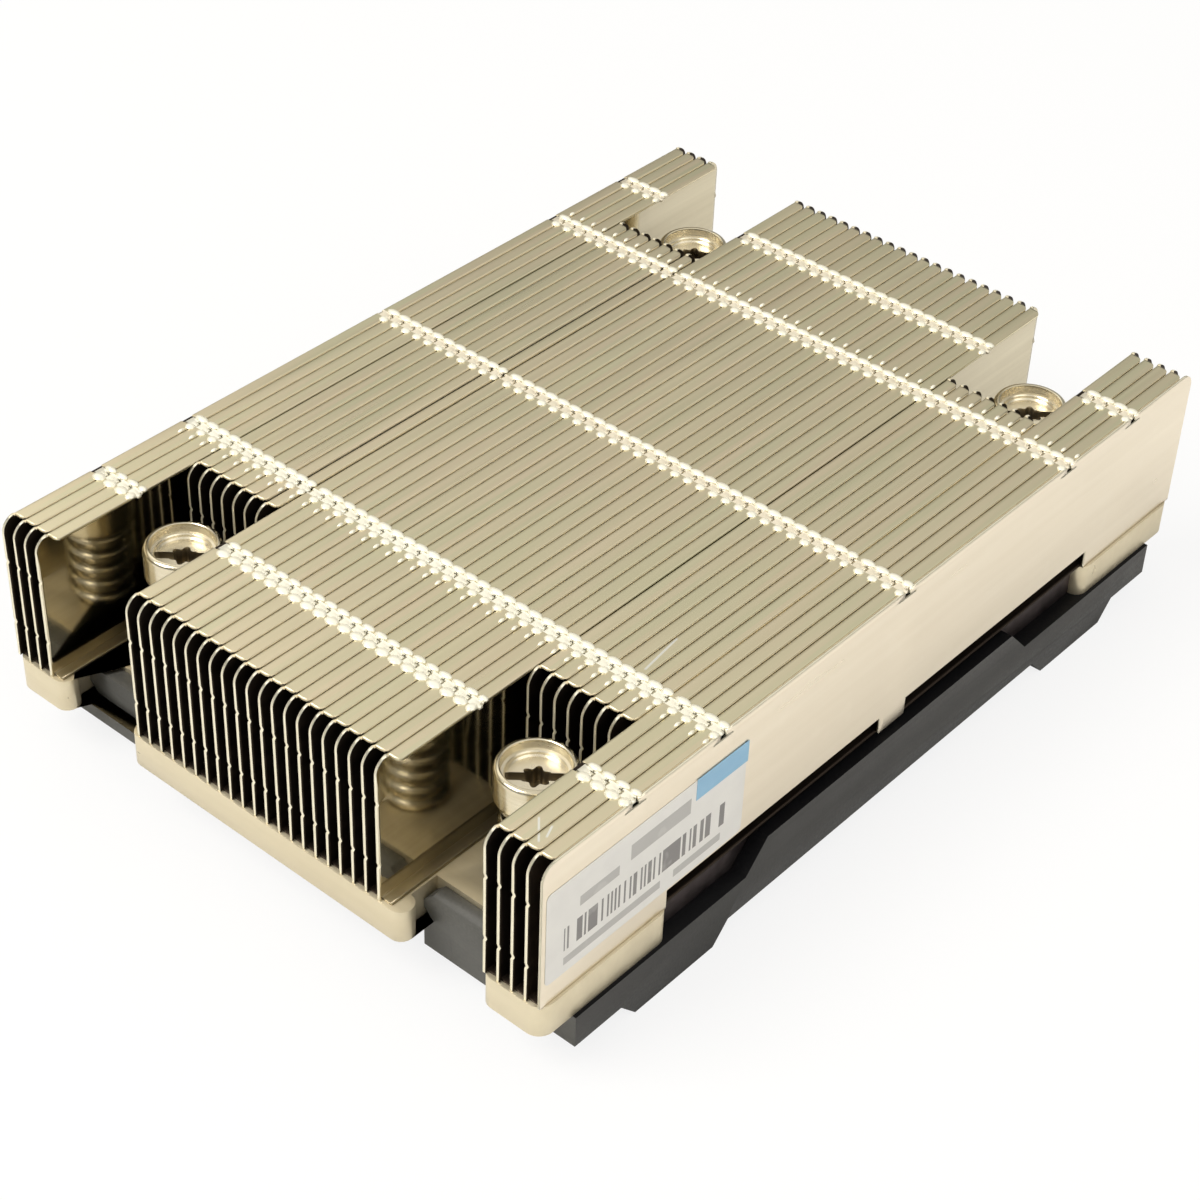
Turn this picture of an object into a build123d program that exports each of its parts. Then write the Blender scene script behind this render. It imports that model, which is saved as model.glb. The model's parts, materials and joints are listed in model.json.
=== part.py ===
"""Passive heatsink for a rack server processor.

Forty-four folded sheet fins stand on a plated base plate. A moulded frame hugs the
plate from below and carries the feet. Four captive spring screws sit in the four
notches of the fin stack. Millimetres, +Z up, +Y along the fins towards the back.
The origin is at the centre of the feet, on the surface that the part stands on.
"""

import os

from build123d import *

os.makedirs("parts", exist_ok=True)

# Fin stack
fin_count = 44
fin_pitch = 1.958
sheet = 0.35
fin_height = 20.5
end_reach = 14.8
flange_gap = 0.12
end_margin = 1.95
top_corner = 1.2

# Interlocking notches along the top flanges
outer_row = 47.6
inner_row = 33.25
lock_length = 2.0
lock_depth = 0.7

# Side plate that closes the stack on the right
side_cut_margin = 0.4
side_cut_height = 2.7
side_tab_length = 5.0
side_tab_gap = 0.25

# Base plate
base_thickness = 4.5
base_side_margin = 0.33
base_end_margin = 0.2
base_corner = 2.0
recess_half_length = 41.0
recess_depth = 1.7
bay_width = 11.6
bay_reach = 7.7
bay_relief_width = 14.9
bay_relief_depth = 4.1

# Frame below the plate
frame_wall = 2.1
frame_clearance = 0.1
skirt_height = 4.5
foot_depth = 2.7
foot_centre = 40.0
foot_length = 13.5
foot_slope = 2.5
tab_rise = 3.9
side_tab_half_length = 24.4
side_tab_slope = 3.6
bay_tab_corner = 1.4
shelf_width = 3.0
shelf_thickness = 1.6

# Captive spring screws
screw_spacing_x = 56.0
screw_spacing_y = 94.0
screw_sink = 4.5
head_radius = 4.75
head_gap_x = 1.3
head_gap_y = 1.95
head_height = 4.8
rim = 0.85
cup_depth = 1.8
socket_radius = 1.8
socket_sides = 6
socket_depth = 2.0
slot_length = 6.8
slot_width = 1.15
slot_depth = 1.0
slot_angle = 41
shank_radius = 3.0
hole_clearance = 0.25
groove_radius = 2.2
groove_play = 0.1
thread_radius = 2.0
tip_height = 1.4

# Springs and retaining clips
wire_radius = 0.45
wire_sides = 4
coil_steps = 10
coil_radius = 3.7
coil_turns = 4.75
clip_thickness = 0.8
clip_radius = 4.5
clip_sides = 12
clip_seat = 0.1
clip_mouth = 3.0

# Thermal pad under the plate
pad_width = 50.0
pad_length = 70.0
pad_thickness = 0.3

# Sticker on the side plate
label_length = 32.4
label_height = 13.2
label_front = 61.2
label_lift = 3.0
label_thickness = 0.12

# Heights of the stacked pieces
skirt_bottom = foot_depth
base_bottom = skirt_bottom + skirt_height
base_top = base_bottom + base_thickness
fin_top = base_top + fin_height
fin_length = screw_spacing_y + 2 * end_reach
short_fin_length = screw_spacing_y - 2 * (head_radius + head_gap_y)
tab_top = base_bottom + tab_rise
rim_height = fin_top - screw_sink
head_bottom = rim_height - head_height


def fin_x(index: int) -> float:
    """Centre of a fin's upright wall, counted from the left."""
    return (index - (fin_count - 1) / 2) * fin_pitch


def is_short(index: int) -> bool:
    """Whether a fin would reach into the space of a screw head and therefore ends before it."""
    low = fin_x(index) - sheet / 2
    high = low + fin_pitch - flange_gap
    reach = head_radius + head_gap_x
    return any(
        low < screw_x + reach and high > screw_x - reach
        for screw_x in (-screw_spacing_x / 2, screw_spacing_x / 2)
    )


def save(name: str, part: Part) -> None:
    """Label a finished piece and write it to its own file."""
    part.label = name
    export_step(part, f"parts/{name}.step")


def make_fin(index: int) -> None:
    """A folded fin: upright wall, top flange and foot flange, open to the right."""
    length = short_fin_length if is_short(index) else fin_length
    rows = [-inner_row, 0, inner_row]
    if not is_short(index):
        rows = [-outer_row, *rows, outer_row]
    flange_length = length - 2 * end_margin
    left = fin_x(index) - sheet / 2
    right = left + fin_pitch - flange_gap
    with BuildPart() as fin:
        with BuildSketch(Plane.YZ.offset(left)):
            with Locations((0, base_top + fin_height / 2)):
                wall = Rectangle(length, fin_height)
            chamfer(wall.vertices().group_by(Axis.Z)[-1], top_corner)
        extrude(amount=sheet)
        for flange_bottom in (base_top, fin_top - sheet):
            with BuildSketch(Plane.XY.offset(flange_bottom)):
                with Locations(((left + right) / 2, 0)):
                    Rectangle(right - left, flange_length)
                if flange_bottom > base_top:
                    with Locations([(right, row) for row in rows]):
                        Rectangle(2 * lock_depth, lock_length, mode=Mode.SUBTRACT)
            extrude(amount=sheet)
    save(f"fin_{index + 1:02d}", fin.part)


for number in range(fin_count - 1):
    make_fin(number)

# The last fin is a plain plate, cut higher between the ears of the base
side_left = fin_x(fin_count - 1) - sheet / 2
with BuildPart() as side_plate:
    with BuildSketch(Plane.YZ.offset(side_left)):
        with Locations((0, base_top + fin_height / 2)):
            blank = Rectangle(fin_length, fin_height)
        chamfer(blank.vertices().group_by(Axis.Z)[-1], top_corner)
        with Locations((0, base_top + side_cut_height / 2)):
            Rectangle(2 * (recess_half_length + side_cut_margin), side_cut_height, mode=Mode.SUBTRACT)
        with Locations((0, base_top + (side_tab_gap + side_cut_height) / 2)):
            Rectangle(side_tab_length, side_cut_height - side_tab_gap)
    extrude(amount=sheet)
save("side_plate", side_plate.part)

# Base plate with two long side recesses and four screw bays
base_width = (fin_count - 1) * fin_pitch + sheet + 2 * base_side_margin
base_length = fin_length + 2 * base_end_margin
bay_x = screw_spacing_x / 2
bay_floor = screw_spacing_y / 2 + bay_reach
bay_depth = base_length / 2 - bay_floor
hole_radius = shank_radius + hole_clearance
recess_x = base_width / 2 - recess_depth
screw_spots = [
    (side_x * screw_spacing_x / 2, side_y * screw_spacing_y / 2)
    for side_y in (-1, 1)
    for side_x in (-1, 1)
]
with BuildPart() as base_plate:
    with BuildSketch(Plane.XY.offset(base_bottom)) as outline:
        RectangleRounded(base_width, base_length, base_corner)
        with Locations((-base_width / 2, 0), (base_width / 2, 0)):
            Rectangle(2 * recess_depth, 2 * recess_half_length, mode=Mode.SUBTRACT)
        for side in (-1, 1):
            bay_y = side * (bay_floor + bay_depth / 2)
            relief_y = side * (bay_floor + bay_relief_depth / 2)
            with Locations((-bay_x, bay_y), (bay_x, bay_y)):
                Rectangle(bay_width, bay_depth, mode=Mode.SUBTRACT)
            with Locations((-bay_x, relief_y), (bay_x, relief_y)):
                Rectangle(bay_relief_width, bay_relief_depth, mode=Mode.SUBTRACT)
    extrude(amount=base_thickness)
    with BuildSketch(Plane.XY.offset(base_bottom)):
        with Locations(screw_spots):
            Circle(hole_radius)
    extrude(amount=base_thickness, mode=Mode.SUBTRACT)
save("base_plate", base_plate.part)

# Frame: a skirt under the plate, an inner shelf, tabs that rise beside the plate, feet
inner_half_width = recess_x + frame_clearance
inner_half_length = bay_floor + frame_clearance
outer_half_width = inner_half_width + frame_wall
outer_half_length = inner_half_length + frame_wall
bay_tab_width = bay_relief_width - 2 * frame_clearance
with BuildPart() as frame:
    with BuildSketch(Plane.XY.offset(skirt_bottom)):
        Rectangle(2 * outer_half_width, 2 * outer_half_length)
        Rectangle(2 * inner_half_width, 2 * inner_half_length, mode=Mode.SUBTRACT)
        with Locations((0, -outer_half_length), (0, outer_half_length)):
            Rectangle(screw_spacing_x - bay_tab_width, 2 * frame_wall, mode=Mode.SUBTRACT)
    extrude(amount=skirt_height)
    with BuildSketch(Plane.XY.offset(base_bottom - shelf_thickness)):
        Rectangle(2 * inner_half_width, 2 * inner_half_length)
        Rectangle(
            2 * (inner_half_width - shelf_width),
            2 * (inner_half_length - shelf_width),
            mode=Mode.SUBTRACT,
        )
    extrude(amount=shelf_thickness)
    for wall_x in (-outer_half_width, inner_half_width):
        with BuildSketch(Plane.YZ.offset(wall_x)):
            with BuildLine():
                Polyline(
                    (-side_tab_half_length - side_tab_slope, base_bottom),
                    (-side_tab_half_length, tab_top),
                    (side_tab_half_length, tab_top),
                    (side_tab_half_length + side_tab_slope, base_bottom),
                    close=True,
                )
            make_face()
            for foot_y in (-foot_centre, foot_centre):
                with BuildLine():
                    Polyline(
                        (foot_y - foot_length / 2, 0),
                        (foot_y + foot_length / 2, 0),
                        (foot_y + foot_length / 2 + foot_slope, skirt_bottom),
                        (foot_y - foot_length / 2 - foot_slope, skirt_bottom),
                        close=True,
                    )
                make_face()
        extrude(amount=frame_wall)
    for wall_y in (-inner_half_length, outer_half_length):
        with BuildSketch(Plane.XZ.offset(-wall_y)):
            tab_middle = base_bottom + tab_rise / 2
            with Locations((-bay_x, tab_middle), (bay_x, tab_middle)):
                tab = Rectangle(bay_tab_width, tab_rise)
            chamfer(tab.vertices().group_by(Axis.Z)[-1], bay_tab_corner)
        extrude(amount=frame_wall)
save("frame", frame.part)

# Pad of heat conducting compound on the underside
with BuildPart() as thermal_pad:
    with BuildSketch(Plane.XY.offset(base_bottom - pad_thickness)):
        Rectangle(pad_width, pad_length)
    extrude(amount=pad_thickness)
save("thermal_pad", thermal_pad.part)

# Sticker on the outside of the side plate, near the front
label_y = -label_front + label_length / 2
with BuildPart() as label_plate:
    with BuildSketch(Plane.YZ.offset(side_left + sheet)):
        with Locations((label_y, base_top + label_lift + label_height / 2)):
            Rectangle(label_length, label_height)
    extrude(amount=label_thickness)
save("side_label", label_plate.part)

# Clip height on the shank, just under the plate
clip_top = base_bottom - clip_seat
clip_bottom = clip_top - clip_thickness
clip_hole = groove_radius + groove_play


def make_screw(name: str, x: float, y: float) -> None:
    """A drum-headed captive screw with a cup, a slot and a six-sided socket in its floor."""
    cup_floor = rim_height - cup_depth
    cup_radius = head_radius - rim
    shoulder = clip_bottom - clip_thickness
    with BuildPart() as screw:
        with BuildSketch(Plane(origin=(x, y, 0), x_dir=(1, 0, 0), z_dir=(0, -1, 0))):
            with BuildLine():
                Polyline(
                    (0, tip_height),
                    (thread_radius, tip_height),
                    (thread_radius, shoulder),
                    (shank_radius, shoulder),
                    (shank_radius, clip_bottom - groove_play),
                    (groove_radius, clip_bottom - groove_play),
                    (groove_radius, clip_top + groove_play),
                    (shank_radius, clip_top + groove_play),
                    (shank_radius, head_bottom),
                    (head_radius, head_bottom),
                    (head_radius, rim_height),
                    (cup_radius, rim_height),
                    (cup_radius, cup_floor),
                    (0, cup_floor),
                    close=True,
                )
            make_face()
        revolve(axis=Axis((x, y, 0), (0, 0, 1)))
        with BuildSketch(Plane(origin=(x, y, cup_floor))):
            RegularPolygon(socket_radius, socket_sides, rotation=slot_angle)
        extrude(amount=-socket_depth, mode=Mode.SUBTRACT)
        with BuildSketch(Plane(origin=(x, y, cup_floor))):
            Rectangle(slot_length, slot_width, rotation=slot_angle)
        extrude(amount=-slot_depth, mode=Mode.SUBTRACT)
    save(name, screw.part)


def make_spring(name: str, x: float, y: float) -> None:
    """A coil spring between the plate and the screw head, bent in short straight runs."""
    first = base_top + wire_radius
    rise = head_bottom - base_top - 2 * wire_radius
    runs = round(coil_turns * coil_steps)
    centre = Vector(x, y, 0)
    points = []
    for run in range(runs + 1):
        spoke = Vector(coil_radius, 0, first + rise * run / runs)
        points.append(centre + spoke.rotate(Axis.Z, 360 * run / coil_steps))
    with BuildPart() as spring:
        with BuildLine() as coil:
            Polyline(*points)
        with BuildSketch(Plane(origin=coil.line @ 0, z_dir=coil.line % 0)):
            RegularPolygon(wire_radius, wire_sides)
        sweep(path=coil.line, transition=Transition.RIGHT)
    save(name, spring.part)


def make_clip(name: str, x: float, y: float) -> None:
    """An open ring in the shank's groove that keeps the screw in the plate."""
    mouth_side = 1 if y > 0 else -1
    with BuildPart() as clip:
        with BuildSketch(Plane(origin=(x, y, clip_bottom))):
            RegularPolygon(clip_radius, clip_sides)
            Circle(clip_hole, mode=Mode.SUBTRACT)
            with Locations((0, -mouth_side * clip_radius)):
                Rectangle(clip_mouth, 2 * (clip_radius - clip_hole / 2), mode=Mode.SUBTRACT)
        extrude(amount=clip_thickness)
    save(name, clip.part)


for corner, (screw_x, screw_y) in zip(("front_left", "front_right", "back_left", "back_right"), screw_spots):
    make_screw(f"screw_{corner}", screw_x, screw_y)
    make_spring(f"spring_{corner}", screw_x, screw_y)
    make_clip(f"clip_{corner}", screw_x, screw_y)
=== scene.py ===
"""Dressed scene of a passive heatsink for a rack server processor.

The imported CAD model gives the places, and the classes below build the folded fins, the
plated base, the moulded frame, the captive screws and the sticker around it.
Shapes are worked in millimetres and brought to metres when a piece is finished.
"""

import json
import logging
import math
from collections.abc import Callable, Iterable
from dataclasses import dataclass, field
from enum import Enum, IntEnum
from functools import cache

import bmesh
import bpy
from mathutils import Matrix, Vector

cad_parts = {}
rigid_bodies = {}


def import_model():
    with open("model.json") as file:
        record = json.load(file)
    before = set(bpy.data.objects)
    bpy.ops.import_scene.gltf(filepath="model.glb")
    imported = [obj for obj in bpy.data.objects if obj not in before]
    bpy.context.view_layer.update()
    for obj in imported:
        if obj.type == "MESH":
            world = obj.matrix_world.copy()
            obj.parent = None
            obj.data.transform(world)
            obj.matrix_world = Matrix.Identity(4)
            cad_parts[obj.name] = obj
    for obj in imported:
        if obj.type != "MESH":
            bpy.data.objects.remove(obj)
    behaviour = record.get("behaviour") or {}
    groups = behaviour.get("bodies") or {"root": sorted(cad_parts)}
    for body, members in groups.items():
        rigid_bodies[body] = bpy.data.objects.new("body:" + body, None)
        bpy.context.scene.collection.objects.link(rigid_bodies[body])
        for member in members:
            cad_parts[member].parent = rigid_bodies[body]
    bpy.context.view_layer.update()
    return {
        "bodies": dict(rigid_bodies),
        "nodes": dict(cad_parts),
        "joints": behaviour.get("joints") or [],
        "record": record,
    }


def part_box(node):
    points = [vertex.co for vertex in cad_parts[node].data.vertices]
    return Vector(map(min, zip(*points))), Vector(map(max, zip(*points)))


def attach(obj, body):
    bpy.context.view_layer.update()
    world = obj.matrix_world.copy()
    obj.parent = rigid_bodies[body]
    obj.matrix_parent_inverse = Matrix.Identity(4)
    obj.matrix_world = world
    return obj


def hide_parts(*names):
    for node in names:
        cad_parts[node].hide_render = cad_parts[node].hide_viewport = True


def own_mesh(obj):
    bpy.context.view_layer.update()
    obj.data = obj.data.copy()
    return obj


LOG = logging.getLogger("heatsink")
MM = 0.001
MICRON = 0.000001
TOUCH = 1e-3
MERGE = 1e-4
Colour = tuple[float, float, float]
Point = tuple[float, float, float]
Pair = tuple[float, float]
Mesh = bmesh.types.BMesh
Corners = list[bmesh.types.BMVert]
Socket = bpy.types.NodeSocket
Sockets = bpy.types.bpy_prop_collection
Edge = bmesh.types.BMEdge
WHITE = (1.0, 1.0, 1.0, 1.0)


class Slot(Enum):
    """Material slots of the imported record."""

    FIN_SHEET = "fin_sheet"
    PLATED_BASE = "plated_base"
    FRAME_PLASTIC = "frame_plastic"
    PAD = "pad"
    LABEL = "label"
    SCREW_METAL = "screw_metal"
    SPRING_WIRE = "spring_wire"
    CLIP_STEEL = "clip_steel"


class Corner(Enum):
    """The four screw places, by the side they stand on."""

    FRONT_LEFT = "front_left"
    FRONT_RIGHT = "front_right"
    BACK_LEFT = "back_left"
    BACK_RIGHT = "back_right"


class Zone(IntEnum):
    """First material number of each part of a fin; its rim and its inner side come next."""

    WALL = 0
    TOP = 3
    TAB = 6
    BAND = 9
    NOTCH = 12
    FOOT = 15


class Graph:
    """A node tree under construction."""

    def __init__(self, tree: bpy.types.NodeTree) -> None:
        """Start on an empty node tree."""
        self.tree = tree

    @classmethod
    def of(cls, owner: bpy.types.Material | bpy.types.World) -> "Graph":
        """Start on the cleared node tree of a material or a world."""
        owner.use_nodes = True
        owner.node_tree.nodes.clear()
        return cls(owner.node_tree)

    def node(self, kind: str, inputs: dict | None = None, **settings: object) -> bpy.types.Node:
        """Add a node, set its options and fill or connect its inputs.

        Args:
            kind: The node's type name.
            inputs: Values or output sockets by input name or place.
            settings: Options of the node itself.

        Returns:
            The new node.
        """
        made = self.tree.nodes.new(kind)
        for name, value in settings.items():
            setattr(made, name, value)
        for key, value in (inputs or {}).items():
            if isinstance(value, Socket):
                self.tree.links.new(value, made.inputs[key])
            else:
                made.inputs[key].default_value = value
        return made

    def group(self, tree: bpy.types.NodeTree, **inputs: object) -> Sockets:
        """Use a shared effect and return its outputs by name."""
        return self.node("ShaderNodeGroup", inputs, node_tree=tree).outputs

    def math(self, operation: str, first: object, second: object = 0.0, clamp: bool = False) -> Socket:
        """Combine two numbers."""
        inputs = {0: first, 1: second}
        return self.node("ShaderNodeMath", inputs, operation=operation, use_clamp=clamp).outputs[0]

    def times(self, first: object, second: object) -> Socket:
        """Multiply two numbers."""
        return self.math("MULTIPLY", first, second)

    def mix(self, factor: object, first: object, second: object) -> Socket:
        """Blend two colours."""
        inputs = {0: factor, 6: first, 7: second}
        return self.node("ShaderNodeMix", inputs, data_type="RGBA").outputs[2]

    def remap(self, value: Socket, low: float, high: float, start: float = 0.0, end: float = 1.0) -> Socket:
        """Stretch a number from one range to another, held at both ends."""
        inputs = {0: value, 1: low, 2: high, 3: start, 4: end}
        return self.node("ShaderNodeMapRange", inputs).outputs[0]

    def noise(self, place: Socket, scale: object, detail: float, distortion: float = 0.0) -> Socket:
        """A cloudy pattern over a place."""
        inputs = {"Vector": place, "Scale": scale, "Detail": detail, "Distortion": distortion}
        return self.node("ShaderNodeTexNoise", inputs).outputs[0]

    def place(self) -> Socket:
        """Object coordinates."""
        return self.node("ShaderNodeTexCoord").outputs["Object"]

    def mapping(self, place: Socket, **changes: Point) -> Socket:
        """A place after a Location, Rotation or Scale."""
        return self.node("ShaderNodeMapping", {"Vector": place, **changes}).outputs[0]

    def axes(self, place: Socket) -> Sockets:
        """The X, Y and Z of a place, by name."""
        return self.node("ShaderNodeSeparateXYZ", {0: place}).outputs


class Effects:
    """Surface effects shared by several finishes, each one shader node group."""

    @staticmethod
    def _start(name: str, outputs: Iterable[str], **inputs: float | None) -> tuple[Graph, Sockets]:
        """Start a group with named sockets.

        Args:
            name: The group's name.
            outputs: Names of the number outputs.
            inputs: Input names with their default, or None for a vector.

        Returns:
            The graph and the group's inputs by name.
        """
        tree = bpy.data.node_groups.new(name, "ShaderNodeTree")
        for key, default in inputs.items():
            kind = "NodeSocketVector" if default is None else "NodeSocketFloat"
            socket = tree.interface.new_socket(name=key, in_out="INPUT", socket_type=kind)
            if default is not None:
                socket.default_value = default
        for key in outputs:
            tree.interface.new_socket(name=key, in_out="OUTPUT", socket_type="NodeSocketFloat")
        graph = Graph(tree)
        return graph, graph.node("NodeGroupInput").outputs

    @classmethod
    @cache
    def grain(cls) -> bpy.types.NodeTree:
        """Rolling or turning marks: fine streaks over broad, faint waves."""
        graph, given = cls._start("grain", ("Tone", "Height"), Place=None, Broad=0.4)
        fine = graph.noise(given["Place"], 1.0, 3.0)
        broad = graph.noise(given["Place"], 0.13, 2.0)
        tone = graph.node("ShaderNodeMix", {0: given["Broad"], 2: fine, 3: broad}).outputs[0]
        graph.node("NodeGroupOutput", {"Tone": graph.remap(tone, 0.3, 0.7), "Height": fine})
        return graph.tree

    @classmethod
    @cache
    def handling(cls) -> bpy.types.NodeTree:
        """Finger smears and dull patches: soft clouds with a few sharper islands."""
        graph, given = cls._start("handling", ("Smear", "Spots"), Place=None, Size=0.012)
        scale = graph.math("DIVIDE", 1.0, given["Size"])
        clouds = graph.noise(given["Place"], scale, 4.0, 0.6)
        islands = graph.noise(given["Place"], graph.times(scale, 7.0), 2.0)
        smear, spots = graph.remap(clouds, 0.42, 0.66), graph.remap(islands, 0.62, 0.7)
        graph.node("NodeGroupOutput", {"Smear": smear, "Spots": spots})
        return graph.tree

    @classmethod
    @cache
    def scratches(cls) -> bpy.types.NodeTree:
        """Thin stray scratches in two directions."""
        graph, given = cls._start("scratches", ("Lines",), Place=None, Density=0.5)
        found = []
        for turn, scale in ((0.6, 90.0), (-1.1, 70.0)):
            long_scale = (scale, scale * 0.04, scale)
            turned = graph.mapping(given["Place"], Rotation=(turn, turn, turn), Scale=long_scale)
            inputs = {"Vector": turned, "Scale": 1.0}
            cells = graph.node("ShaderNodeTexVoronoi", inputs, feature="DISTANCE_TO_EDGE")
            found.append(graph.remap(cells.outputs[0], 0.0, 0.02, 1.0, 0.0))
        lines = graph.math("MAXIMUM", *found)
        graph.node("NodeGroupOutput", {"Lines": graph.times(lines, given["Density"])})
        return graph.tree


@dataclass(frozen=True)
class Finish:
    """A surface finish with its tones, its sheen and the marks it carries.

    Colours are linear. Grain is counted in marks per metre along X, Y and Z and is some
    microns deep. Smears have their size in metres.
    """

    name: str
    light: Colour
    dark: Colour
    rough: Pair
    grain: Point = (900.0, 25.0, 900.0)
    depth: float = 4.0
    smear: float = 0.3
    smear_size: float = 0.012
    scratch: float = 0.2
    metallic: float = 1.0
    broad: float = 0.4
    coat: float = 0.0
    specular: float = 0.5

    def colour(self, graph: Graph, tone: Socket) -> Socket:
        """The finish's own colour, from its grain tone."""
        return graph.mix(tone, (*self.dark, 1.0), (*self.light, 1.0))

    @cache
    def build(self) -> bpy.types.Material:
        """The Blender material, made when it is first asked for."""
        material = bpy.data.materials.new(self.name)
        graph = Graph.of(material)
        place = graph.place()
        streaks = graph.mapping(place, Scale=self.grain)
        grain = graph.group(Effects.grain(), Place=streaks, Broad=self.broad)
        handling = graph.group(Effects.handling(), Place=place, Size=self.smear_size)
        lines = graph.group(Effects.scratches(), Place=place, Density=self.scratch)["Lines"]
        smear = graph.times(handling["Smear"], self.smear)
        spots = graph.times(handling["Spots"], self.smear * 0.5)
        base = self.colour(graph, grain["Tone"])
        smeared = graph.mix(graph.times(smear, 0.5), base, (*self.dark, 1.0))
        low, high = self.rough
        rough = graph.times(graph.math("ADD", smear, grain["Tone"]), high - low)
        rougher = graph.math("ADD", graph.times(lines, 0.15), rough)
        height = graph.math("SUBTRACT", grain["Height"], lines)
        relief = {"Height": height, "Distance": self.depth * MICRON, "Strength": 1.0}
        bump = graph.node("ShaderNodeBump", relief)
        shader = graph.node(
            "ShaderNodeBsdfPrincipled",
            {
                "Base Color": graph.mix(spots, smeared, (*self.light, 1.0)),
                "Metallic": self.metallic,
                "Roughness": graph.math("ADD", rougher, low, clamp=True),
                "Coat Weight": self.coat,
                "Specular IOR Level": self.specular,
                "Normal": bump.outputs[0],
            },
        )
        graph.node("ShaderNodeOutputMaterial", {"Surface": shader.outputs[0]})
        return material


@dataclass(frozen=True)
class FoldedSheet(Finish):
    """Plating that differs a little from one folded sheet to the next.

    A mark is a straight bright scratch on the top: X and Y of both ends and the width, in
    millimetres.
    """

    pitch: float = 0.001958
    warm: Colour = (0.84, 0.73, 0.54)
    cool: Colour = (0.72, 0.72, 0.50)
    bright: Colour = (1.0, 1.0, 0.92)
    marks: tuple[tuple[float, float, float, float, float], ...] = ()

    def colour(self, graph: Graph, tone: Socket) -> Socket:
        """The plating's tone, warmer on some sheets and cooler on others."""
        base = super().colour(graph, tone)
        place = graph.place()
        axes = graph.axes(place)
        number = graph.math("FLOOR", graph.math("DIVIDE", axes["X"], self.pitch))
        jump, along = graph.times(number, 3.7), graph.times(axes["Y"], 40.0)
        steps = graph.node("ShaderNodeCombineXYZ", {0: jump, 1: along}).outputs[0]
        drift = graph.remap(graph.noise(steps, 1.0, 1.0), 0.35, 0.65)
        toned = graph.mix(0.5, base, graph.mix(drift, (*self.cool, 1.0), (*self.warm, 1.0)))
        for mark in self.marks:
            toned = graph.mix(self._mark(graph, place, mark), toned, (*self.bright, 1.0))
        return toned

    def _mark(self, graph: Graph, place: Socket, mark: tuple[float, ...]) -> Socket:
        """A mask along one scratch."""
        start, end, width = Vector(mark[0:2]), Vector(mark[2:4]), mark[4] * MM
        middle, run = (start + end) / 2 * MM, (end - start) * MM
        moved = graph.mapping(place, Location=(-middle.x, -middle.y, 0.0))
        axes = graph.axes(graph.mapping(moved, Rotation=(0.0, 0.0, -math.atan2(run.y, run.x))))
        half = run.length / 2
        along = graph.remap(graph.math("ABSOLUTE", axes["X"]), half - 0.3 * MM, half, 1.0, 0.0)
        across = graph.remap(graph.math("ABSOLUTE", axes["Y"]), 0.3 * width, 0.5 * width, 1.0, 0.0)
        return graph.times(along, across)


@dataclass(frozen=True)
class PrintedPaper(Finish):
    """Sticker paper with plain grey bars where print would be.

    The bars and the strips are placed in millimetres from the sticker's front lower corner,
    as start and end along it and low and high up it.
    """

    front: float = 0.0
    bottom: float = 0.0
    ink: Colour = (0.2, 0.19, 0.19)
    bar_step: float = 0.3
    bar_share: float = 0.45
    bars: tuple[float, float, float, float] = (2.8, 29.4, 3.3, 6.6)
    strips: tuple[tuple[float, float, float, float], ...] = (
        (13.2, 23.0, 9.0, 11.2),
        (5.2, 11.4, 8.2, 9.6),
        (2.8, 18.4, 1.2, 2.3),
        (20.6, 28.6, 1.2, 2.3),
    )
    strip_tone: float = 0.55

    def colour(self, graph: Graph, tone: Socket) -> Socket:
        """Paper tone with a row of bars and short strips."""
        axes = graph.axes(graph.place())
        along = graph.math("SUBTRACT", axes["Y"], self.front)
        up = graph.math("SUBTRACT", axes["Z"], self.bottom)

        def between(value: Socket, low: float, high: float) -> Socket:
            """A mask that is 1 between two bounds."""
            above = graph.math("GREATER_THAN", value, low * MM)
            return graph.times(above, graph.math("LESS_THAN", value, high * MM))

        def window(start: float, end: float, low: float, high: float) -> Socket:
            """A mask that is 1 in one rectangle."""
            return graph.times(between(along, start, end), between(up, low, high))

        number = graph.math("FLOOR", graph.math("DIVIDE", along, self.bar_step * MM))
        steps = graph.node("ShaderNodeCombineXYZ", {0: number}).outputs[0]
        chance = graph.node("ShaderNodeTexWhiteNoise", {"Vector": steps}, noise_dimensions="3D").outputs[0]
        mask = graph.times(window(*self.bars), graph.math("GREATER_THAN", chance, self.bar_share))
        for strip in self.strips:
            mask = graph.math("MAXIMUM", mask, graph.times(window(*strip), self.strip_tone))
        return graph.mix(mask, super().colour(graph, tone), (*self.ink, 1.0))


MOULD_GRAIN = (2600.0, 2600.0, 2600.0)
CHAMPAGNE = Finish(
    "fin_plating", (0.62, 0.55, 0.38), (0.48, 0.42, 0.27), (0.24, 0.38), (1400.0, 25.0, 900.0), 6.0,
    smear=0.5, smear_size=0.02, scratch=0.25,
)
TOP_SHEET = FoldedSheet(
    "fin_top_plating", (0.88, 0.79, 0.56), (0.78, 0.69, 0.46), (0.24, 0.36), (900.0, 20.0, 900.0),
    smear=0.35, smear_size=0.03, scratch=0.15,
    marks=(
        (29.4, -31.2, 28.5, -24.4, 0.34), (36.5, -56.1, 39.1, -59.0, 0.3), (38.4, -56.1, 39.2, -58.0, 0.3),
    ),
)
# Painted shade: a near-black copy of the fin plating on the hidden sides, rims and feet in the gaps between
# fins.
CHANNEL_SHADE = Finish("fin_channel_painted_shade", (0.060, 0.045, 0.034), (0.035, 0.026, 0.020), (0.45, 0.6), scratch=0.0)
FOOT_SHEET = Finish("fin_foot_plating", (0.46, 0.40, 0.28), (0.34, 0.29, 0.19), (0.36, 0.50), smear=0.4)
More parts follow.
